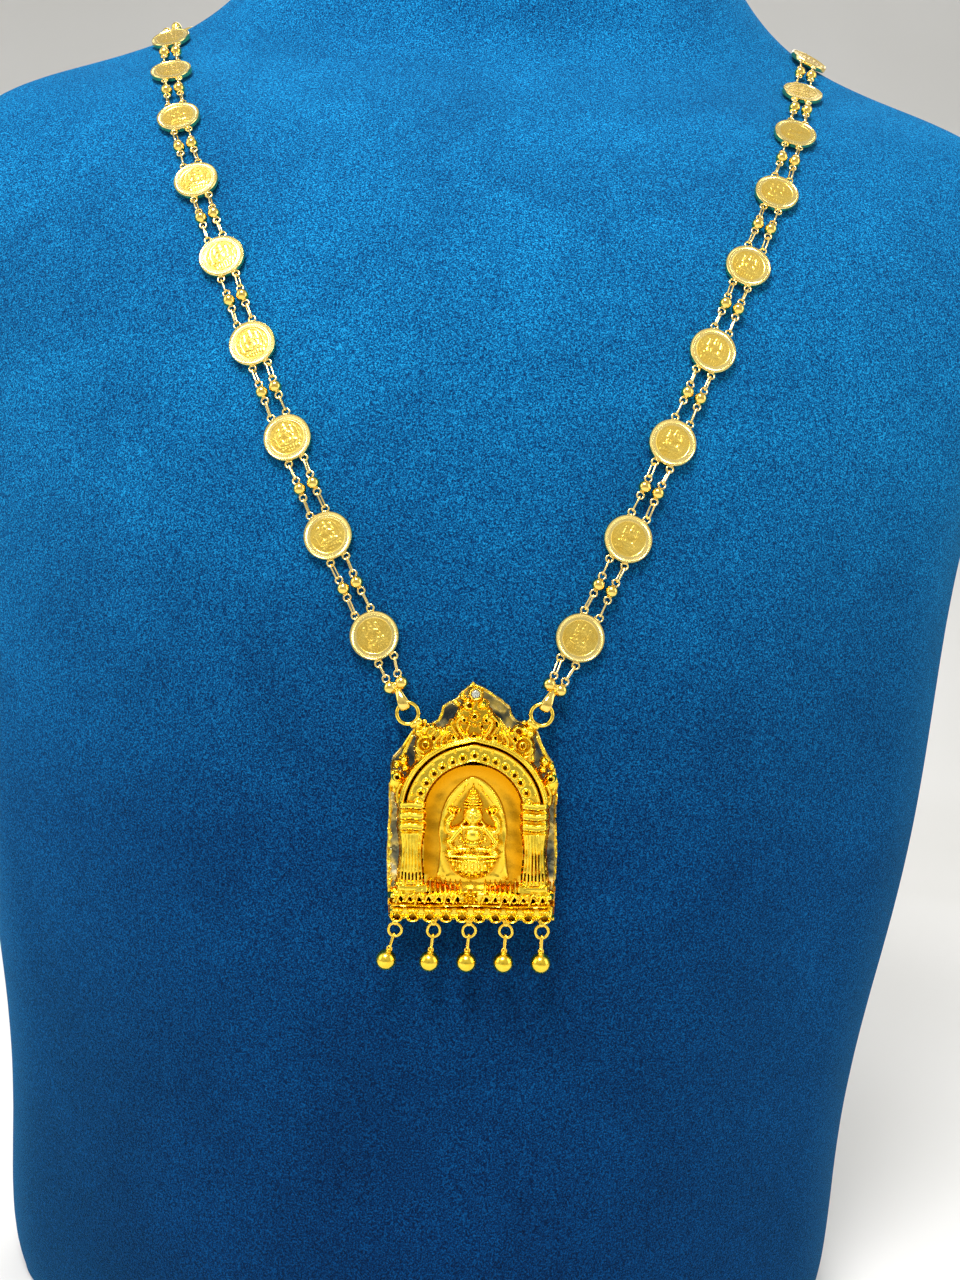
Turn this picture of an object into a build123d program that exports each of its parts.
from build123d import *

import os
from collections import namedtuple
from math import cos, hypot, pi, radians, sin, tan

# Temple jewellery necklace of linked coins with a shrine pendant, lying on a plain neck bust.
# Millimetres. X runs to the viewer's right, Y into the scene and Z up. The origin is the centre
# of the bust's flat base.

# Neck bust: one row for each level section, from the base to the top of the neck
Section = namedtuple("Section", "height half_width front middle back")
BUST_SECTIONS = [
    Section(0, 104, -54, -8, 56),
    Section(45, 111, -56, -8, 58),
    Section(105, 121, -59, -9, 61),
    Section(165, 129, -61, -9, 63),
    Section(225, 139, -56, -9, 65),
    Section(275, 150, -43, -9, 67),
    Section(310, 142, -25, -2, 70),
    Section(330, 119, -12, 12, 72),
    Section(343, 101, -8, 21, 74),
    Section(356, 89, -8, 28, 75),
    Section(376, 76, -11, 33, 75),
    Section(404, 66, -13, 36, 74),
    Section(426, 62, -14, 38, 73),
]
NECK_RIM_SECTIONS = [
    Section(426, 62, -14, 38, 73),
    Section(429, 60.8, -12.8, 38, 71.8),
    Section(430.5, 58, -10, 38, 69),
]
bust_corner = 0.62       # radius of a section's rounded corners, as a share of its half depth

# Coins
coin_diameter = 11.0
coin_thickness = 1.2
coin_rim = 0.75          # width of the raised rim
coin_field = 0.25        # depth of the field below the rim, on both faces
coin_medal = 3.6         # radius of the raised middle that carries the figure
coins_seen = 9           # coins on each side in front of the shoulder
coins_hidden = 1         # coins on each side behind it
coin_pitch = 24.8        # from one coin's centre to the next, along the chain
coin_lift = 1.3          # middle of a coin above the bust

# Small rings and strands
ring_radius = 0.775      # middle of the wire of a coin's soldered ring
ring_wire = 0.225        # radius of that wire
strand_half_gap = 1.9    # half the distance between a coin's two rings on one side
ring_reach = 5.9         # from a coin's centre to the middle of its rings, along the chain
strand_radius = 0.8      # outer radius of the links of a strand
strand_gap = 0.3         # clearance from a strand's end to the ring that it hangs on
bead_radius = 1.45
bead_half_gap = 1.65     # half the distance between the two beads of a strand pair
bead_lift = 1.85         # middle of a bead above the bust

# Connector: two beads soldered side by side, with a bail
bail_radius = 1.35
bail_wire = 0.42
bail_to_beads = 4.35
upper_bail_reach = 16.5  # from the last coin to the hidden connector's bail, along the chain
upper_bail_lift = 2.5    # middle of that bail above the bust
connector_half_gap = 1.4
neck_radius = 0.75
cross_radius = 0.95      # short bar that joins the two beads
bead_ring_offset = bead_radius + ring_radius - 0.05

# Pendant, in its own frame: the origin is the middle of the hinge line, X along it, -Y to the front
pendant_x = 7.5
pendant_y = -64.0
pendant_z = 156.2
pendant_tilt = 3.0       # the hinge line rises to the right
hinge_half = 15.5
corner_ring_x = 14.6
corner_ring_z = -2.05
corner_ring_radius = 2.35
corner_ring_wire = 0.45
plate_back = 1.2
plate_front = 0.7
shell_front = -0.9       # general face of the pressed front
base_z = -46.3
arch_centre_z = -23.7
arch_inner = 10.85
arch_groove = 15.1
arch_outer = 17.4
arch_inner_front = -1.7
arch_outer_front = -2.1
arch_bevel = 0.4
niche_floor = 0.3
niche_half_width = 9.9
niche_foot = -40.0

# Pillars
pillar_x = 13.4
capital_top = -21.6
capital_steps = 5
capital_step_height = 1.3
capital_half_width = 3.3
capital_step_in = 0.22   # every other step of the capital is narrower by this
shaft_foot = -38.6
shaft_waist_z = -31.8
shaft_top_radius = 2.6
shaft_waist_radius = 2.0
shaft_foot_radius = 3.2
pillar_block_width = 6.8
pillar_block_depth = 2.8
pillar_block_height = 2.4
pillar_block_z = -39.7

# Bands under the niche
band_z = -41.6
band_width = 35.4
band_depth = 2.7
band_height = 2.9
edge_z = -44.6           # rounded bottom edge that carries the cushions
edge_half_width = 17.2
edge_radius = 1.6
cushions = 10
cushion_spacing = 3.6
cushion_radius = 1.75

# Back plate's cut outline, clockwise from the bottom left corner
PLATE_OUTLINE = [
    (-18.6, -46.4), (-19.1, -32.0), (-18.8, -16.7), (-18.0, -10.6), (-13.7, -4.4), (-11.1, -5.2),
    (-9.3, -3.9), (-7.6, -2.4), (-7.3, -0.6), (-5.5, 0.5), (-3.9, 1.8), (-2.3, 3.6), (-0.4, 4.9),
    (2.2, 4.1), (5.5, 1.0), (7.7, -0.3), (8.3, -2.4), (9.9, -3.7), (12.1, -4.2), (13.7, -4.8),
    (14.5, -7.6), (16.0, -10.2), (17.8, -13.0), (18.5, -17.2), (18.3, -31.4), (18.3, -46.2),
]

# Flat layer behind the crest's bosses
CREST_OUTLINE = [
    (-16.5, -17.0), (-14.2, -9.6), (-11.8, -6.6), (-6.6, -2.4), (-2.2, 1.6), (0.2, 3.4), (2.7, 1.6),
    (6.8, -2.4), (12.0, -6.6), (14.4, -9.8), (16.6, -17.0),
]

# Bosses of the crest: place, radius and how far the centre stands from the hinge plane
Boss = namedtuple("Boss", "x z radius y")
CREST_BOSSES = [
    Boss(-1.2, -0.2, 1.0, 0.2),
    Boss(1.9, 0.1, 1.0, 0.2),
    Boss(-0.1, -2.9, 1.3, -0.4),
    Boss(-2.4, -3.8, 1.0, -0.1),
    Boss(2.5, -3.6, 1.0, -0.1),
    Boss(-0.1, -6.6, 1.2, -0.5),
    Boss(-4.6, -2.6, 1.1, 0.2),
    Boss(4.7, -2.6, 1.1, 0.2),
    Boss(-5.0, -6.2, 1.4, -0.2),
    Boss(5.1, -6.2, 1.4, -0.2),
    Boss(-8.2, -6.4, 1.3, 0.1),
    Boss(8.4, -6.6, 1.3, 0.1),
    Boss(-11.0, -8.9, 1.7, -0.2),
    Boss(11.2, -8.9, 1.7, -0.2),
    Boss(-13.4, -5.6, 1.2, 0.2),
    Boss(13.5, -6.0, 1.2, 0.2),
    Boss(-14.4, -11.8, 1.4, 0.0),
    Boss(14.5, -11.9, 1.4, 0.0),
    Boss(-16.8, -16.0, 1.6, -0.1),
    Boss(16.8, -16.3, 1.6, -0.1),
]
stone_x = 0.2
stone_z = 2.3
stone_radius = 0.88
bezel_outer = 1.45
bezel_inner = 0.95
bezel_front = -0.9
stone_front = -0.8

# Seated figure: limbs as rounded bars from one point to another
Limb = namedtuple("Limb", "start end radius")
FIGURE_LIMBS = [
    Limb((0, -0.3, -31.5), (0, -0.5, -28.6), 2.1),
    Limb((-1.7, -0.6, -27.4), (1.7, -0.6, -27.4), 1.1),
    Limb((-4.2, -0.7, -33.2), (4.2, -0.7, -33.2), 1.45),
    Limb((-2.2, -0.5, -27.3), (-4.9, -0.4, -28.3), 0.75),
    Limb((-4.9, -0.4, -28.3), (-4.5, -0.4, -23.6), 0.75),
    Limb((2.2, -0.5, -27.3), (4.9, -0.4, -28.3), 0.75),
    Limb((4.9, -0.4, -28.3), (4.5, -0.4, -23.6), 0.75),
    Limb((-2.2, -0.6, -27.9), (-4.3, -0.9, -30.4), 0.8),
    Limb((-4.3, -0.9, -30.4), (-3.7, -1.2, -32.8), 0.75),
    Limb((2.2, -0.6, -27.9), (4.3, -0.9, -30.4), 0.8),
    Limb((4.3, -0.9, -30.4), (3.7, -1.2, -32.8), 0.75),
]
head_z = -24.1
head_y = -0.7
head_radius = 1.55
crown_top = -17.4
crown_foot_radius = 1.5
crown_tip_radius = 0.3
lotus_top = -34.2
lotus_foot = -38.3
lotus_top_radius = 5.2
lotus_foot_radius = 2.6

# Drops under the pendant: where each ring is, and how far the drop leans to the viewer's left
Drop = namedtuple("Drop", "x lean")
DROPS = [Drop(-16.8, 16.0), Drop(-8.4, 7.5), Drop(-0.7, 4.5), Drop(7.3, 4.5), Drop(15.1, 2.0)]
drop_ring_z = -49.1
drop_ring_radius = 1.4
drop_ring_wire = 0.32
drop_reach = 6.8         # from the ring's middle to the ball's middle
ball_radius = 2.2
ball_loop_reach = 4.3
ball_loop_radius = 0.5
ball_loop_wire = 0.18
link_half_length = 2.0
link_half_width = 0.85
link_wire = 0.2
link_reach = 2.5

# Route of the chain on the bust from the first coin up over the shoulder and round to the clasp
ROUTE_LEFT = [
    (-15.6, -62, 169.8), (-39.0, -56, 213.8), (-59.7, -47, 258.0), (-78.6, -29, 300.0),
    (-92.2, -1, 336.5), (-95.0, 24, 350.0), (-86.0, 50, 355.0), (-62.0, 70, 358.0),
    (-32.0, 78, 359.0), (0.0, 79, 359.5),
]
ROUTE_RIGHT = [
    (29.8, -61, 172.2), (48.3, -55, 217.5), (65.4, -45, 263.0), (80.1, -25, 306.0),
    (90.6, 4, 343.0), (93.0, 28, 352.0), (85.0, 52, 356.0), (62.0, 70, 358.5),
    (32.0, 78, 359.5), (0.0, 79, 359.5),
]
back_chain_radius = 0.9
back_chain_lift = 1.9
back_chain_run = 13.0    # about the distance between the points of the back chain
back_chain_start = 2.4   # from the hidden bail's middle to the chain's end
clasp_length = 15.0
clasp_wire = 0.6
clasp_width = 4.4
clasp_lift = 1.2


def section_wire(section):
    """Closed outline of one level section: shallow front and back arcs with rounded corners."""
    width = section.half_width

    def half(depth, direction):
        """Middle point, tangent point and corner's middle point of the front or back half."""
        corner = bust_corner * depth
        across = width - corner
        inward = (across**2 - (depth - corner) ** 2) / (2 * (depth - corner))
        large = depth + inward
        ux, uy = across / (large - corner), inward / (large - corner)
        tangent = (large * ux, direction * (large * uy - inward))
        bx, by = ux + 1, uy
        size = hypot(bx, by)
        middle = (across + corner * bx / size, direction * corner * by / size)
        return (0, direction * depth), tangent, middle

    front, front_end, front_corner = half(section.middle - section.front, -1)
    back, back_end, back_corner = half(section.back - section.middle, 1)

    def place(point, side=1):
        return (side * point[0], section.middle + point[1], section.height)

    side_point = (width, 0)
    return Wire([
        ThreePointArc(place(front_end, -1), place(front), place(front_end)),
        ThreePointArc(place(front_end), place(front_corner), place(side_point)),
        ThreePointArc(place(side_point), place(back_corner), place(back_end)),
        ThreePointArc(place(back_end), place(back), place(back_end, -1)),
        ThreePointArc(place(back_end, -1), place(back_corner, -1), place(side_point, -1)),
        ThreePointArc(place(side_point, -1), place(front_corner, -1), place(front_end, -1)),
    ])


def make_bust():
    """The bust: one smooth closed form with a flat base and a rounded neck top."""
    body = Solid.make_loft([section_wire(section) for section in BUST_SECTIONS])
    rim = Solid.make_loft([section_wire(section) for section in NECK_RIM_SECTIONS])
    return body.fuse(rim).solid()


def bust_point(skin, guess, lift):
    """Point at the given height above the bust nearest to a guess, and the outward direction there."""
    distances = [(face.distance_to(guess), index) for index, face in enumerate(skin)]
    face = skin[min(distances)[1]]
    on_face = face.closest_points(guess)[0]
    outward = face.normal_at(on_face).normalized()
    return on_face + outward * lift, outward


def rod(start, end, radius):
    """Plain round bar from one point to another."""
    start, end = Vector(*start), Vector(*end)
    direction = end - start
    return Solid.make_cylinder(radius, direction.length, Plane(start, z_dir=direction))


def rounded_rod(start, end, radius):
    """Round bar with a ball at both ends."""
    return rod(start, end, radius).fuse(
        Pos(*start) * Sphere(radius).solid(), Pos(*end) * Sphere(radius).solid()
    )


def fused(pieces):
    """All the pieces as one solid."""
    return pieces[0].fuse(*pieces[1:]).solid()


def torus(place, radius, wire, axis, free):
    """Plain ring of round wire about an axis; free points to its side that nothing is soldered to."""
    return Solid.make_torus(radius, wire, Plane(place, x_dir=free, z_dir=axis))


# Coins, in a frame with X across the chain, Y along it and Z away from the bust


def make_coin():
    """Struck coin with a raised rim, a raised middle and four soldered rings."""
    radius = coin_diameter / 2
    half = coin_thickness / 2
    field = half - coin_field
    inner = radius - coin_rim
    profile = Plane.XZ * Polyline(
        (0, -half), (radius, -half), (radius, half), (inner, half), (inner - coin_field, field),
        (coin_medal, field), (coin_medal - coin_field, half - 0.05), (0, half - 0.05), close=True,
    )
    disc = revolve(make_face(profile), Axis.Z).solid()
    rings = [
        torus((side * strand_half_gap, end * ring_reach, 0), ring_radius, ring_wire, (0, 0, 1), (0, end, 0))
        for side in (-1, 1)
        for end in (-1, 1)
    ]
    return fused([disc, *rings])


def local_point(frame, x, y, z=0.0):
    """Point given in a coin's own frame, in the part's frame."""
    return frame.origin + frame.x_dir * x + frame.y_dir * y + frame.z_dir * z


def strand(start, end, middle, outward):
    """One strand: links as a thin rod with the bead in the middle."""
    along = (end - start).normalized()
    frame = Plane(middle, x_dir=along, z_dir=outward - along * outward.dot(along))
    first = frame.to_local_coords(start)
    last = frame.to_local_coords(end)
    clear = ring_radius + ring_wire + strand_gap
    pieces = [
        Rot(0, 0, 90) * Sphere(bead_radius).solid(),
        rod(first - first.normalized() * clear, (0, 0, 0), strand_radius),
        rod((0, 0, 0), last - last.normalized() * clear, strand_radius),
    ]
    return frame.location * fused(pieces)


def make_strands(skin, lower, upper):
    """Both strands between two coins, each with its bead lying on the bust."""
    pair = []
    for side in (-1, 1):
        start = local_point(lower, side * strand_half_gap, ring_reach)
        end = local_point(upper, side * strand_half_gap, -ring_reach)
        across = (lower.x_dir + upper.x_dir).normalized()
        guess = (start + end) * 0.5 - across * side * (strand_half_gap - bead_half_gap)
        middle, outward = bust_point(skin, guess, bead_lift)
        pair.append(strand(start, end, middle, outward))
    return pair


def make_connector(bail_place, bail_axis, toward, outward):
    """Bail, short neck and two soldered beads with a ring each; returns it and its ring places."""
    up = (toward - bail_place).normalized()
    across = up.cross(outward).normalized()
    frame = Plane(bail_place, x_dir=across, z_dir=across.cross(up))
    axis = Vector(bail_axis.dot(frame.x_dir), bail_axis.dot(frame.y_dir), bail_axis.dot(frame.z_dir))
    pieces = [
        torus((0, 0, 0), bail_radius, bail_wire, axis, (0, -1, 0)),
        rod((0, bail_radius + 0.1, 0), (0, bail_to_beads, 0), neck_radius),
        rod((-connector_half_gap, bail_to_beads, 0), (connector_half_gap, bail_to_beads, 0), cross_radius),
    ]
    ring_y = bail_to_beads + bead_ring_offset
    for side in (-1, 1):
        bead = Rot(0, 90, 0) * Sphere(bead_radius).solid()
        pieces.append(Pos(side * connector_half_gap, bail_to_beads, 0) * bead)
        place = (side * connector_half_gap, ring_y, 0)
        pieces.append(torus(place, ring_radius, ring_wire, (0, 0, 1), (0, 1, 0)))
    ring_places = [local_point(frame, side * connector_half_gap, ring_y) for side in (-1, 1)]
    return frame.location * fused(pieces), ring_places


def make_end_links(ring_places, coin_ring_places):
    """The two single links between a connector's rings and a coin's rings."""
    clear = ring_radius + ring_wire + strand_gap
    links = []
    for ring, coin_ring in zip(ring_places, coin_ring_places):
        along = (coin_ring - ring).normalized()
        links.append(rod(ring + along * clear, coin_ring - along * clear, strand_radius))
    return links


# Pendant, all in its own frame


def front_layer(face, back, front):
    """Layer of the pressed front: a face drawn in X and Z, from one depth to another."""
    return Pos(0, back, 0) * extrude(face, back - front, dir=(0, -1, 0)).solid()


def outline_face(points):
    """Flat face in the X and Z plane from a list of corner points."""
    return make_face(Polyline(*[(x, 0, z) for x, z in points], close=True))


def arch_face(radius, half_width, foot):
    """Round arch over a straight-sided opening, in the X and Z plane."""
    rise = arch_centre_z + (radius**2 - half_width**2) ** 0.5
    return make_face(Wire([
        Line((-half_width, 0, foot), (half_width, 0, foot)),
        Line((half_width, 0, foot), (half_width, 0, rise)),
        ThreePointArc((half_width, 0, rise), (0, 0, arch_centre_z + radius), (-half_width, 0, rise)),
        Line((-half_width, 0, rise), (-half_width, 0, foot)),
    ]))


def arch_band(inner, outer, front, back=plate_front):
    """Half ring over the niche between two radii, raised to the given depth."""
    section = make_face(Polyline(
        (inner, back, arch_centre_z), (outer, back, arch_centre_z),
        (outer, front + arch_bevel, arch_centre_z), (outer - arch_bevel, front, arch_centre_z),
        (inner + arch_bevel, front, arch_centre_z), (inner, front + arch_bevel, arch_centre_z),
        close=True,
    ))
    return revolve(section, Axis((0, 0, arch_centre_z), (0, -1, 0)), revolution_arc=180).solid()


def make_pillar(side):
    """Column with a stepped capital, a waisted shaft and a square foot."""
    x = side * pillar_x
    pieces = []
    for step in range(capital_steps):
        half = capital_half_width - capital_step_in * (step % 2)
        depth = 3.0 - 0.4 * (step % 2)
        middle = capital_top - capital_step_height * (step + 0.5)
        pieces.append(Pos(x, -0.6, middle) * Box(2 * half, depth, capital_step_height).solid())
    shaft_top = capital_top - capital_steps * capital_step_height
    profile = make_face(Wire([
        Line((x, 0, shaft_top), (x + shaft_top_radius, 0, shaft_top)),
        ThreePointArc(
            (x + shaft_top_radius, 0, shaft_top), (x + shaft_waist_radius, 0, shaft_waist_z),
            (x + shaft_foot_radius, 0, shaft_foot),
        ),
        Line((x + shaft_foot_radius, 0, shaft_foot), (x, 0, shaft_foot)),
        Line((x, 0, shaft_foot), (x, 0, shaft_top)),
    ]))
    shaft = revolve(profile, Axis((x, 0, 0), (0, 0, 1))).solid()
    pieces.append(shaft.intersect(in_front_of_plate(x, shaft_top, shaft_foot)).solid())
    block = Box(pillar_block_width, pillar_block_depth, pillar_block_height).solid()
    pieces.append(Pos(x, -0.7, pillar_block_z) * block)
    return pieces


def in_front_of_plate(x, top, foot):
    """Block that keeps only what stands in front of the plate's front face."""
    depth = 6.0
    return Pos(x, plate_front - depth / 2, (top + foot) / 2) * Box(14, depth, top - foot + 2).solid()


def make_base():
    """The two bands under the niche: a flat band, then a row of cushions over the bottom edge."""
    pieces = [
        Pos(0, -0.65, band_z) * Box(band_width, band_depth, band_height).solid(),
        rod((-edge_half_width, -0.5, edge_z), (edge_half_width, -0.5, edge_z), edge_radius),
    ]
    for index in range(cushions):
        x = (index - (cushions - 1) / 2) * cushion_spacing
        pieces.append(Pos(x, -0.8, edge_z - 0.3) * Sphere(cushion_radius).solid())
    return pieces


def make_figure():
    """Seated figure in the niche: lotus seat, folded legs, four arms, head and tall crown."""
    seat = Cone(lotus_foot_radius, lotus_top_radius, lotus_top - lotus_foot).solid()
    seat = Pos(0, 0, (lotus_top + lotus_foot) / 2) * seat
    pieces = [seat.intersect(in_front_of_plate(0, lotus_top, lotus_foot)).solid()]
    pieces += [rounded_rod(limb.start, limb.end, limb.radius) for limb in FIGURE_LIMBS]
    pieces.append(Pos(0, head_y, head_z) * Sphere(head_radius).solid())
    crown_foot = head_z + 0.9
    crown = Cone(crown_foot_radius, crown_tip_radius, crown_top - crown_foot).solid()
    pieces.append(Pos(0, head_y + 0.3, (crown_foot + crown_top) / 2) * crown)
    return pieces


def make_pendant_rings():
    """The two big corner rings and the five small rings under the bottom edge, with their solder."""
    pieces = []
    for side in (-1, 1):
        place = (side * corner_ring_x, 0, corner_ring_z)
        pieces.append(torus(place, corner_ring_radius, corner_ring_wire, (0, 1, 0), (side, 0, 1)))
        pieces.append(Pos(side * 13.3, 0.3, -4.4) * Sphere(0.95).solid())
    for drop in DROPS:
        place = (drop.x, 0, drop_ring_z)
        pieces.append(torus(place, drop_ring_radius, drop_ring_wire, (0, 1, 0), (0, 0, -1)))
        stem_foot = drop_ring_z + drop_ring_radius
        pieces.append(rod((drop.x, 0, stem_foot), (drop.x, 0, base_z + 0.6), 0.55))
    return pieces


def make_pendant():
    """The soldered pendant: plate, pressed front, crest, figure and all its rings."""
    plate = front_layer(outline_face(PLATE_OUTLINE), plate_back, plate_front)
    shell = front_layer(arch_face(arch_outer, arch_outer - 0.3, base_z), plate_front, shell_front)
    niche_face = arch_face(arch_inner, niche_half_width, niche_foot)
    niche = front_layer(niche_face, niche_floor, shell_front - 1)
    crest = front_layer(outline_face(CREST_OUTLINE), plate_front, 0.0)
    pieces = [plate, shell.cut(niche).solid(), crest.cut(niche).solid()]
    pieces.append(arch_band(arch_inner, arch_groove, arch_inner_front))
    pieces.append(arch_band(arch_groove + 0.1, arch_outer, arch_outer_front))
    for side in (-1, 1):
        pieces += make_pillar(side)
    pieces += make_base()
    pieces += make_figure()
    pieces += [Pos(boss.x, boss.y, boss.z) * Sphere(boss.radius).solid() for boss in CREST_BOSSES]
    pieces.append(rod((stone_x, plate_front, stone_z), (stone_x, bezel_front, stone_z), bezel_outer))
    pieces += make_pendant_rings()
    pendant = fused(pieces)
    socket = rod((stone_x, plate_front - 0.2, stone_z), (stone_x, bezel_front - 1, stone_z), bezel_inner)
    return pendant.cut(socket).solid()


def make_stone():
    """The small round stone, standing in its bezel."""
    back = plate_front - 0.25
    stone = rod((stone_x, back, stone_z), (stone_x, stone_front, stone_z), stone_radius)
    return chamfer(stone.edges().group_by(Axis.Y)[0], 0.25)


def make_drop(drop):
    """A ball with its loop and, as a second solid, the link through the pendant's ring."""
    hang = Pos(drop.x, 0, drop_ring_z) * Rot(0, drop.lean, 0)
    ball = fused([
        Pos(0, 0, -drop_reach) * Sphere(ball_radius).solid(),
        rod((0, 0, -drop_reach), (0, 0, -ball_loop_reach - ball_loop_radius), 0.45),
        torus((0, 0, -ball_loop_reach), ball_loop_radius, ball_loop_wire, (0, 1, 0), (0, 0, 1)),
    ])
    round_half = link_half_width - link_wire
    straight = link_half_length - link_half_width
    pieces = []
    for end in (-1, 1):
        z = -link_reach + end * straight
        ring = torus((0, 0, z), round_half, link_wire, (1, 0, 0), (0, 0, -end))
        half = Pos(0, 0, z + end * 2) * Box(4, 4, 4).solid()
        pieces.append(ring.intersect(half).solid())
        y = end * round_half
        low, high = -link_reach - straight, -link_reach + straight
        pieces.append(rod((0, y, low), (0, y, high), link_wire))
    return [hang * ball, hang * fused(pieces)]


# Back chain and clasp


def make_back_chain(skin, route, start, clasp_end):
    """Plain chain as one tube round the back of the neck."""
    first = route.param_at_point(start)
    last = route.param_at_point(clasp_end)
    stretch = route.trim(first, last)
    runs = max(3, round(stretch.length / back_chain_run))
    points = [bust_point(skin, stretch @ (step / runs), back_chain_lift)[0] for step in range(runs + 1)]
    radii = []
    for before, corner, after in zip(points, points[1:], points[2:]):
        turn = (corner - before).get_angle(after - corner)
        run = min((corner - before).length, (after - corner).length)
        radii.append(0.45 * run / tan(radians(turn) / 2))
    path = FilletPolyline(*points, radius=radii)
    start_plane = Plane(path @ 0, z_dir=path % 0)
    tube = sweep(start_plane * Circle(back_chain_radius), path).solid()
    expected = pi * back_chain_radius**2 * path.length
    print(f"back chain {path.length:.1f} mm, bends {min(radii):.0f} to {max(radii):.0f} mm, "
          f"volume over length x section {tube.volume / expected:.4f}")
    return tube


def make_clasp(skin):
    """One plain closed oval of wire on the back of the neck between the two ends of the chain."""
    place, outward = bust_point(skin, Vector(*ROUTE_LEFT[-1]), clasp_lift)
    frame = Plane(place, x_dir=(1, 0, 0), z_dir=outward)
    half = clasp_length / 2
    tall = clasp_width / 2
    path = Wire([
        Line((-half + tall, tall), (half - tall, tall)),
        ThreePointArc((half - tall, tall), (half, 0), (half - tall, -tall)),
        Line((half - tall, -tall), (-half + tall, -tall)),
        ThreePointArc((-half + tall, -tall), (-half, 0), (-half + tall, tall)),
    ])
    start = Plane(path @ 0, z_dir=path % 0)
    return frame * sweep(start * Circle(clasp_wire), path).solid()


def coin_frames(skin, route):
    """One plane for each coin of a side, spaced evenly along the route."""
    frames = []
    for index in range(coins_seen + coins_hidden):
        distance = index * coin_pitch
        guess = route.position_at(distance, position_mode=PositionMode.LENGTH)
        along = route.tangent_at(distance, position_mode=PositionMode.LENGTH)
        place, outward = bust_point(skin, guess, coin_lift)
        across = along.cross(outward).normalized()
        frames.append(Plane(place, x_dir=across, z_dir=outward))
    return frames


def export(name, solids):
    """Write one node."""
    solids = solids if isinstance(solids, list) else [solids]
    for solid in solids:
        solid.label = name
    shape = solids[0] if len(solids) == 1 else Compound(children=solids)
    shape.label = name
    export_step(shape, f"parts/{name}.step")


os.makedirs("parts", exist_ok=True)

bust = make_bust()
export("neck_bust", bust)
skin = [face for face in bust.faces() if abs(face.normal_at().Z) < 0.95]

pendant_place = Pos(pendant_x, pendant_y, pendant_z) * Rot(0, -pendant_tilt, 0)
export("pendant", pendant_place * make_pendant())
export("crest_stone", pendant_place * make_stone())
for number, drop in enumerate(DROPS, 1):
    export(f"drop_{number}", [pendant_place * solid for solid in make_drop(drop)])

coin = make_coin()
hinge_direction = Vector(cos(radians(pendant_tilt)), 0, sin(radians(pendant_tilt)))
hinge_middle = Vector(pendant_x, pendant_y, pendant_z)

for name, side, points in (("left", -1, ROUTE_LEFT), ("right", 1, ROUTE_RIGHT)):
    route = Spline(*[bust_point(skin, Vector(*point), coin_lift)[0] for point in points])
    frames = coin_frames(skin, route)
    for number, frame in enumerate(frames, 1):
        export(f"coin_{name}_{number:02d}", frame.location * coin)
    for number, (lower, upper) in enumerate(zip(frames, frames[1:]), 1):
        export(f"strands_{name}_{number:02d}", make_strands(skin, lower, upper))

    # The connector on the pendant's ring
    bail = hinge_middle + hinge_direction * (side * hinge_half)
    first = frames[0]
    connector, rings = make_connector(bail, hinge_direction, first.origin, first.z_dir)
    export(f"lower_connector_{name}", connector)
    coin_rings = [local_point(first, edge * strand_half_gap, -ring_reach) for edge in (-1, 1)]
    if (rings[0] - coin_rings[0]).length > (rings[0] - coin_rings[1]).length:
        coin_rings.reverse()
    export(f"lower_links_{name}", make_end_links(rings, coin_rings))

    # The same connector behind the neck, where the plain chain begins
    last = frames[-1]
    reach = (coins_seen + coins_hidden - 1) * coin_pitch + upper_bail_reach
    guess = route.position_at(reach, position_mode=PositionMode.LENGTH)
    bail, outward = bust_point(skin, guess, upper_bail_lift)
    connector, rings = make_connector(bail, outward, last.origin, outward)
    export(f"upper_connector_{name}", connector)
    coin_rings = [local_point(last, edge * strand_half_gap, ring_reach) for edge in (-1, 1)]
    if (rings[0] - coin_rings[0]).length > (rings[0] - coin_rings[1]).length:
        coin_rings.reverse()
    export(f"upper_links_{name}", make_end_links(rings, coin_rings))

    start = route.position_at(reach + back_chain_start, position_mode=PositionMode.LENGTH)
    clasp_reach = clasp_length / 2 + clasp_wire + strand_gap
    end = route.position_at(route.length - clasp_reach, position_mode=PositionMode.LENGTH)
    export(f"back_chain_{name}", make_back_chain(skin, route, start, end))

export("clasp", make_clasp(skin))
